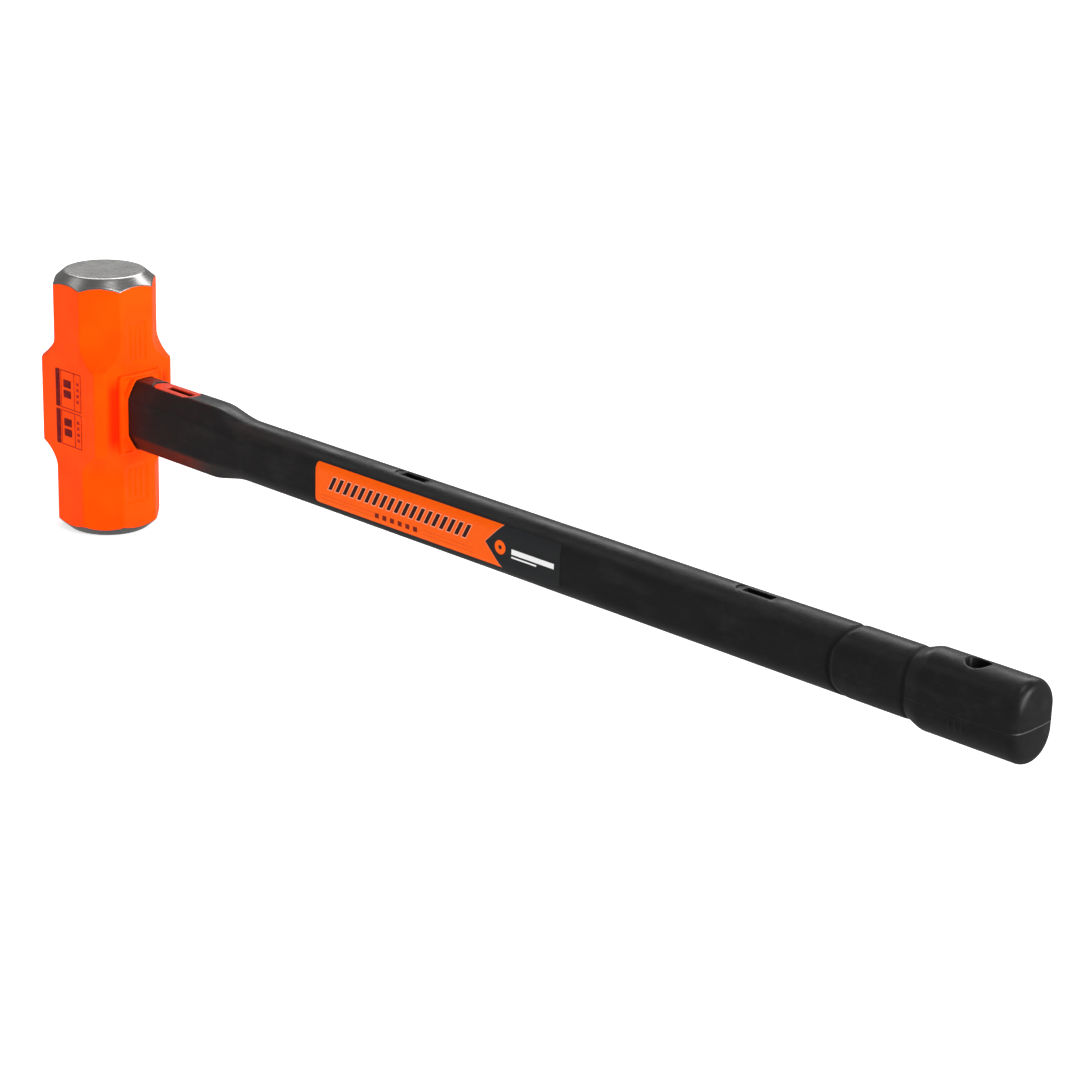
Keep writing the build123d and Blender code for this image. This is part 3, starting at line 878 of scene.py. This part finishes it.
def label_material():
    """Printed film: an orange field with a swallow tail and plain slanted stripes, on a black panel."""
    n = Nodes("printed_label")
    x, _, z = n.axes()
    up = n.math("SUBTRACT", z, AXIS + LABEL_MIDDLE)

    def upto(value, high):
        """1 up to a value, 0 beyond it."""
        soft = 0.08 * MM
        return n.remap(value, high - soft, high + soft, 1.0, 0.0, smooth=False)

    def band(value, low, high):
        """1 between two values, 0 outside."""
        return n.math("SUBTRACT", upto(value, high), upto(value, low))

    def box(run, span, heights):
        """1 inside a span and a range of heights, 0 outside."""
        return n.times(band(run, *span), band(up, *heights))

    def repeated(run, pitch):
        """Distance from the middle of the nearest of evenly spaced bars."""
        return n.distance(n.math("MODULO", run, pitch), pitch / 2)

    # Swallow tail: the orange ends along two straight lines that meet at the notch
    lean = (TIP_X - NOTCH_X) / LABEL_HALF
    tail = n.math("ADD", NOTCH_X, n.times(n.math("ABSOLUTE", up), lean))
    beyond = n.math("SUBTRACT", x, tail)
    field = n.remap(beyond, 0.0, 0.12 * MM, 1.0, 0.0, False)
    panel = n.remap(beyond, 1.0 * MM, 1.12 * MM, 0.0, 1.0, False)
    # A row of plain slanted stripes, each with a pale keyline
    slanted = n.math("SUBTRACT", x, n.times(up, STRIPE_LEAN))
    off_stripe = repeated(slanted, STRIPE_PITCH)
    low, high = STRIPE_HEIGHTS
    stripes = n.times(box(slanted, STRIPE_ROW, STRIPE_HEIGHTS), upto(off_stripe, STRIPE_HALF))
    keylines = n.times(box(slanted, STRIPE_ROW, (low - KEYLINE, high + KEYLINE)),
                       upto(off_stripe, STRIPE_HALF + KEYLINE))
    # Thin rules, with a short row of small blocks between them
    rules = n.math("ADD", *(box(x, RULE_SPAN, heights) for heights in RULE_HEIGHTS))
    rules = n.times(rules, n.math("SUBTRACT", 1.0, band(x, *RULE_GAP)))
    blocks = n.times(box(x, BLOCK_ROW, BLOCK_HEIGHTS), upto(repeated(x, BLOCK_PITCH), BLOCK_HALF))
    orange = n.blend(n.noise(300, 3), LABEL_ORANGE, LABEL_ORANGE_DEEP)
    orange = n.blend(n.times(keylines, 0.55), orange, LABEL_KEYLINE)
    orange = n.blend(stripes, orange, LABEL_STRIPE)
    orange = n.blend(n.times(rules, 0.55), orange, LABEL_RULE)
    orange = n.blend(blocks, orange, LABEL_BLOCK)
    # Black panel: a plain orange disc with a dark centre, and two plain white bars
    from_disc = n.math("SQRT", n.math("ADD", n.math("POWER", n.math("SUBTRACT", x, DISC_X), 2.0),
                                      n.math("POWER", n.math("ADD", up, DISC_DROP), 2.0)))
    disc = n.times(band(from_disc, *DISC_RADII), panel)
    white = n.math("ADD", *(box(x, span, heights) for span, heights in WHITE_BARS))
    black = n.blend(disc, LABEL_BLACK, LABEL_ORANGE)
    black = n.blend(white, black, LABEL_WHITE)
    colour = n.blend(field, black, orange)
    edge = n.times(n.remap(beyond, -0.45 * MM, -0.3 * MM, 0.0, 1.0, False), field)
    colour = n.blend(n.times(edge, 0.6), colour, LABEL_EDGE)
    scuff = n.remap(n.noise(1.0, 4, 0.7, n.scaled((60, 800, 800))), 0.66, 0.76)
    colour = n.blend(n.times(scuff, 0.18), colour, LABEL_SCUFF)
    rough = n.remap(n.noise(120, 4), 0.3, 0.7, 0.30, 0.44)
    height = n.math("ADD", n.noise(160, 3), n.times(n.noise(1300, 2), 0.15))
    n.shader.inputs["Specular IOR Level"].default_value = 0.07
    return n.finish(colour, rough, n.bump(height, 0.08 * MM))


def side_depth(x, height):
    """How far out the -Y side of the plain shaft is, at heights from the axis."""
    outline = shaft_section(x)
    face = outline[outline[:, 0] < 0]
    order = np.argsort(face[:, 1])
    return np.interp(height, face[order, 1], face[order, 0])


LABEL_LIFT = LABEL_FILM + 0.10 * MM    # the film's outer face, from the plain shaft's side
LABEL_SINK = 0.25 * MM                 # how far its inner face lies inside the rubber


def shaft_label():
    """Thin film that follows the shaft's side, its corners rounded."""
    start, end = LABEL_LOW.x, LABEL_HIGH.x
    low, high = LABEL_MIDDLE - LABEL_HALF, LABEL_MIDDLE + LABEL_HALF
    work = bmesh.new()
    columns = np.concatenate([start + LABEL_CORNER * (1 - np.cos(np.linspace(0, math.pi / 2, 7)))[:-1],
                              np.linspace(start + LABEL_CORNER, end - LABEL_CORNER, 110),
                              end - LABEL_CORNER * (1 - np.sin(np.linspace(0, math.pi / 2, 7)))[1:]])
    rows = 34
    outer, inner = [], []
    for x in columns:
        inset = min(x - start, end - x, LABEL_CORNER)
        pull = LABEL_CORNER - math.sqrt(max(LABEL_CORNER**2 - (LABEL_CORNER - inset) ** 2, 0))
        heights = np.linspace(low + pull, high - pull, rows)
        depth = side_depth(x, heights)
        line = np.stack([depth, heights], axis=1)
        along = np.gradient(line, axis=0)
        out = np.stack([-along[:, 1], along[:, 0]], axis=1)
        out /= np.linalg.norm(out, axis=1)[:, None]
        lift = line + out * LABEL_LIFT
        sink = line - out * LABEL_SINK
        outer.append([work.verts.new((x, p[0], p[1] + AXIS)) for p in lift])
        inner.append([work.verts.new((x, p[0], p[1] + AXIS)) for p in sink])
    for grid, flip in ((outer, False), (inner, True)):
        for first, second in zip(grid, grid[1:]):
            for k in range(rows - 1):
                face = (first[k], second[k], second[k + 1], first[k + 1])
                work.faces.new(reversed(face) if flip else face)
    for k in range(rows - 1):
        work.faces.new((inner[0][k], outer[0][k], outer[0][k + 1], inner[0][k + 1]))
        work.faces.new((outer[-1][k], inner[-1][k], inner[-1][k + 1], outer[-1][k + 1]))
    for c in range(len(columns) - 1):
        work.faces.new((outer[c][0], inner[c][0], inner[c + 1][0], outer[c + 1][0]))
        work.faces.new((inner[c][-1], outer[c][-1], outer[c + 1][-1], inner[c + 1][-1]))
    bmesh.ops.recalc_face_normals(work, faces=work.faces)
    mesh = finished(work, "printed_label")
    shade_smooth(mesh, 40)
    piece = add_object("printed_label", mesh)
    mesh.materials.append(label_material())
    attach(piece, "root")
    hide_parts("handle_label")


# ---- cheek marking

INK_DARK = (0.12, 0.004, 0.006, 1)
INK_WORN = (0.36, 0.012, 0.004, 1)
LINE_DARK = (0.34, 0.008, 0.002, 1)
LINE_WORN = (0.66, 0.030, 0.002, 1)

# Print on the cheek, in millimetres: X from the head's middle, Z from mid height
PRINT_FIELDS = ((-1.5, 24.0), (-26.5, -3.0))
PRINT_BAND = (-12.4, -8.2)
PRINT_FRAME = (-7.2, 13.4)
PRINT_LINE = 0.6
PRINT_SPLIT = 6.2
PRINT_BLOCK = (-4.4, 3.2)
PRINT_BLOCK_HEIGHTS = ((1.4, 6.6), (-5.4, -0.4))   # from the field's middle
PRINT_TICK = (8.6, 11.2)
PRINT_TICK_PLACES = (-6.0, -2.0, 2.0, 6.0)
PRINT_TICK_HALF = 1.1
PRINT_THICKNESS = 0.34                 # half of it stands out of the cheek


def ink_material(name, dark, pale, wear, worn_rough):
    """Red printing ink, worn thin in places. wear is the range of noise from sound to worn."""
    n = Nodes(name)
    worn = n.remap(n.noise(520, 5, 0.7), *wear)
    n.shader.inputs["Specular IOR Level"].default_value = 0.1
    return n.finish(n.blend(worn, dark, pale), n.remap(worn, 0, 1, 0.4, worn_rough),
                    n.bump(n.noise(900, 3), 0.04 * MM))


def printed_boxes(name, boxes, material):
    """Thin raised print on the -Y cheek, from (x, x, z, z) boxes in millimetres about mid height."""
    work = bmesh.new()
    middle = HEAD_LENGTH / 2
    for x0, x1, z0, z1 in boxes:
        size = (abs(x1 - x0) * MM, PRINT_THICKNESS * MM, abs(z1 - z0) * MM)
        place = Matrix.Translation(((x0 + x1) / 2 * MM, -HALF_FLATS, middle + (z0 + z1) / 2 * MM))
        made = bmesh.ops.create_cube(work, size=1.0, matrix=place @ Matrix.Diagonal((*size, 1)))
        edges = {e for v in made["verts"] for e in v.link_edges
                 if abs((e.verts[0].co - e.verts[1].co).normalized().y) > 0.9}
        corner = min(0.35 * MM, 0.3 * min(size[0], size[2]))
        bmesh.ops.bevel(work, geom=list(edges), offset=corner, segments=3, affect="EDGES")
    mesh = finished(work, name)
    piece = add_object(name, mesh)
    mesh.materials.append(material)
    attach(piece, "root")
    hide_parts("cheek_marking")


def cheek_marking():
    """Two framed fields with a dark band each, and plain blocks and ticks in them."""
    bars, lines = [], []
    left, right = PRINT_FRAME
    for low, high in PRINT_FIELDS:
        bars.append((*PRINT_BAND, low, high))
        lines += [(left, right, high - PRINT_LINE, high), (left, right, low, low + PRINT_LINE)]
        lines += [(x, x + PRINT_LINE, low, high) for x in (left, right - PRINT_LINE, PRINT_SPLIT)]
        middle = (low + high) / 2
        bars += [(*PRINT_BLOCK, middle + foot, middle + top) for foot, top in PRINT_BLOCK_HEIGHTS]
        lines += [(*PRINT_TICK, middle + step - PRINT_TICK_HALF, middle + step + PRINT_TICK_HALF)
                  for step in PRINT_TICK_PLACES]
    bar_ink = ink_material("marking_ink", INK_DARK, INK_WORN, (0.48, 0.72), 0.55)
    printed_boxes("marking_bars", bars, bar_ink)
    line_ink = ink_material("marking_lines", LINE_DARK, LINE_WORN, (0.4, 0.7), 0.5)
    printed_boxes("marking_lines", lines, line_ink)


# ---- steel parts

def locking_plate():
    """Painted plate behind the eye, its edges eased."""
    piece = refined("locking_plate", "eased_locking_plate", PLATE_VOXEL)
    points = coordinates(piece.data)
    out = normals(piece.data)
    waves = fractal(points, 9 * MM, 2, (2.2, 6.1, 3.3))
    move_to(piece.data, points + out * (0.05 * MM * waves)[:, None])
    piece.data.materials.append(painted_material("plate_paint"))
    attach(piece, "root")
    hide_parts("locking_plate")


def spacer_pad():
    """First spacer, whose glossy pad shows in the first slot."""
    piece = refined("core_spacer_1", "padded_spacer", PAD_VOXEL)
    piece.data.materials.append(pad_material())
    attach(piece, "root")
    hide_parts("core_spacer_1")


ROD_RADIUS = 3.0 * MM
ROD_SIDES = 40


def peened_rod(number, material):
    """One rod as a turned form: a hammered dome behind the plate, then the plain shank."""
    low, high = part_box(f"core_rod_{number}")
    centre = ((low.y + high.y) / 2, (low.z + high.z) / 2)
    head_radius = (high.y - low.y) / 2
    back = low.x
    plate = PLATE_LOW.x
    # X and radius: the dome, its rounded rim down to the plate, then the shank
    profile = [(back + 0.10 * MM * (r / 0.7) ** 2, head_radius * r) for r in (0.15, 0.3, 0.45, 0.6, 0.7)]
    profile += [(back + 0.18 * MM, head_radius * 0.80), (back + 0.30 * MM, head_radius * 0.90),
                (back + 0.48 * MM, head_radius * 0.97), (plate - 0.02 * MM, head_radius * 0.99),
                (plate + 0.05 * MM, head_radius * 0.97), (plate + 0.06 * MM, ROD_RADIUS)]
    profile += [(plate + share * (high.x - plate), ROD_RADIUS) for share in (0.01, 0.25, 0.5, 0.75, 0.995)]
    profile += [(high.x, ROD_RADIUS * 0.9)]
    turn = np.linspace(0, 2 * math.pi, ROD_SIDES, endpoint=False)
    rings = [np.column_stack([np.full(ROD_SIDES, x), centre[0] + radius * np.cos(turn),
                              centre[1] + radius * np.sin(turn)]) for x, radius in profile]
    mesh = rings_mesh(f"peened_rod_{number}", rings)
    points = coordinates(mesh)
    near = points[:, 0] < plate
    dents = fractal(points, 2.4 * MM, 2, (number * 3.7, 1.0, 5.0))
    spread = fractal(points, 6 * MM, 1, (number * 1.9, 4.0, 2.0))
    points[near, 0] += (0.10 * MM * np.clip(dents, 0, 1))[near]
    points[near, 1:] += ((points[near, 1:] - centre) * (0.03 * spread[near, None]))
    move_to(mesh, points)
    shade_smooth(mesh, 50)
    piece = add_object(f"peened_rod_{number}", mesh)
    mesh.materials.append(material)
    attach(piece, "root")
    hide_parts(f"core_rod_{number}")


def inner_steel():
    """The inner CAD nodes keep their shape and get a worked material."""
    material = mill_steel_material()
    for node in ("core_spacer_2", "core_spacer_3", "rod_end_plate"):
        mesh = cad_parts[node].data
        mesh.materials.clear()
        mesh.materials.append(material)


# ---- stage

CAMERA_PLACE = (1.45365, -1.14642, 0.64946)
CAMERA_AZIMUTH = 42.862
CAMERA_ELEVATION = 19.637
CAMERA_ROLL = 1.742
CAMERA_LENS = 97.49


def camera():
    """Camera at the reference viewing angle."""
    data = bpy.data.cameras.new("camera")
    data.lens = CAMERA_LENS
    data.sensor_width = 36.0
    data.clip_end = 50
    azimuth, elevation, roll = (math.radians(a) for a in (CAMERA_AZIMUTH, CAMERA_ELEVATION, CAMERA_ROLL))
    back = Vector((math.sin(azimuth) * math.cos(elevation), -math.cos(azimuth) * math.cos(elevation),
                   math.sin(elevation)))
    right = Vector((math.cos(azimuth), math.sin(azimuth), 0))
    up = back.cross(right)
    turned_right = right * math.cos(roll) + up * math.sin(roll)
    turned_up = up * math.cos(roll) - right * math.sin(roll)
    axes = Matrix((turned_right, turned_up, back)).transposed()
    eye = bpy.data.objects.new("camera", data)
    eye.matrix_world = Matrix.Translation(CAMERA_PLACE) @ axes.to_4x4()
    bpy.context.scene.collection.objects.link(eye)
    bpy.context.scene.camera = eye


FLOOR_HALF = 12.0
FLOOR_COLOUR = (0.90, 0.90, 0.90, 1)
FLOOR_GLOW = 0.60
WORLD_LIGHT = 0.3             # strength of the white surroundings as a light
WORLD_SEEN = 1.0              # and as the camera sees them


def floor():
    """Plain pale floor that the head stands on, left out of reflections."""
    mesh = bpy.data.meshes.new("floor")
    corners = [(x * FLOOR_HALF, y * FLOOR_HALF, 0) for x, y in ((-1, -1), (1, -1), (1, 1), (-1, 1))]
    mesh.from_pydata(corners, [], [(0, 1, 2, 3)])
    ground = add_object("floor", mesh)
    n = Nodes("pale_floor")
    n.shader.inputs["Specular IOR Level"].default_value = 0.0
    n.shader.inputs["Emission Color"].default_value = (1, 1, 1, 1)
    n.shader.inputs["Emission Strength"].default_value = FLOOR_GLOW
    mesh.materials.append(n.finish(FLOOR_COLOUR, 0.9))
    ground.visible_glossy = False


# Soft sun: the way its light travels, strength and angle
SUN_WAY = (-1.0, -0.12, -0.36)
SUN_STRENGTH = 3.4
SUN_ANGLE = 40
NEAR_TARGET = (0.12, 0.0, 0.085)
SHAFT_TARGET = (0.3, 0.0, 0.085)
# Name, place, target, size in metres, power in watts, and whether reflections show it
AREA_LIGHTS = (("top_light", (0.87, -0.15, 2.4), NEAR_TARGET, (0.5, 0.5), 9, True),
               ("left_light", (-1.17, -0.85, 1.78), SHAFT_TARGET, (1.0, 0.7), 2.5, True),
               ("back_light", (-0.5, 1.6, 1.6), SHAFT_TARGET, (3.0, 0.6), 28, True),
               ("fill_light", (-0.4, -2.6, 0.9), NEAR_TARGET, (1.6, 1.2), 15, False))


def lamp_object(data, way):
    """Lamp in the scene that shines along a direction."""
    lamp = bpy.data.objects.new(data.name, data)
    lamp.rotation_euler = Vector(way).to_track_quat("-Z", "Y").to_euler()
    bpy.context.scene.collection.objects.link(lamp)
    return lamp


def area_light(name, place, target, size, power, reflected):
    """Rectangular soft light at a place, aimed at a target."""
    data = bpy.data.lights.new(name, "AREA")
    data.shape = "RECTANGLE"
    data.size, data.size_y = size
    data.energy = power
    lamp = lamp_object(data, Vector(target) - Vector(place))
    lamp.location = place
    lamp.visible_glossy = reflected


def white_world():
    """White surroundings, plain white to the camera and softer than that as a light."""
    world = bpy.data.worlds.new("studio")
    world.use_nodes = True
    tree = world.node_tree
    background = tree.nodes["Background"]
    background.inputs[0].default_value = (1, 1, 1, 1)
    seen = tree.nodes.new("ShaderNodeLightPath")
    strength = tree.nodes.new("ShaderNodeMapRange")
    strength.inputs["To Min"].default_value = WORLD_LIGHT
    strength.inputs["To Max"].default_value = WORLD_SEEN
    tree.links.new(seen.outputs["Is Camera Ray"], strength.inputs["Value"])
    tree.links.new(strength.outputs[0], background.inputs[1])
    bpy.context.scene.world = world


def studio():
    """White surroundings, a soft sun from the handle's end, and top, left, back and fill lights."""
    white_world()
    sun = bpy.data.lights.new("key_light", "SUN")
    sun.energy = SUN_STRENGTH
    sun.angle = math.radians(SUN_ANGLE)
    lamp_object(sun, SUN_WAY)
    for light in AREA_LIGHTS:
        area_light(*light)
    bpy.context.scene.view_settings.view_transform = "Standard"


# ---- build


camera()
floor()
studio()
hammer_head()
rubber_handle()
spacer_pad()
shaft_label()
cheek_marking()
locking_plate()
rod_steel = rod_material()
for rod in range(1, 7):
    peened_rod(rod, rod_steel)
inner_steel()
